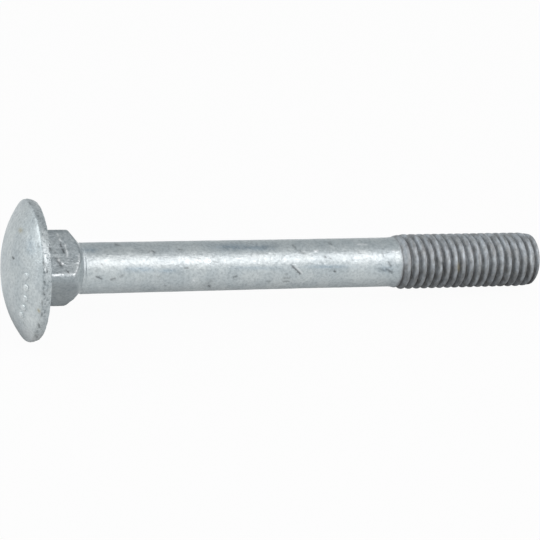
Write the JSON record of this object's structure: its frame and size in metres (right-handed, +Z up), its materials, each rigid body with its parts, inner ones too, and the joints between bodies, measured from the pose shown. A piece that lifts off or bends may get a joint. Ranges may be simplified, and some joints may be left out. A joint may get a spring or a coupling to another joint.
{
  "type": "carriage bolt",
  "caption": "Galvanised carriage bolt with a low domed head, a square neck, a plain reduced shank and a threaded end, lying on its side.",
  "frame": {"origin": "centre of the bolt's footprint on the ground plane, where it lies on its head's rim and its thread", "axes": "+X along the bolt from head to thread, seen from above; +Z up; the bolt's own axis dips 4.31 degrees below +X towards the thread"},
  "size_m": [0.0792, 0.0192, 0.0192],
  "materials": {
    "galvanised_steel": "hot-dip galvanised, dull and mottled"
  },
  "bodies": {
    "root": {"carriage_bolt": "galvanised_steel"}
  },
  "joints": []
}
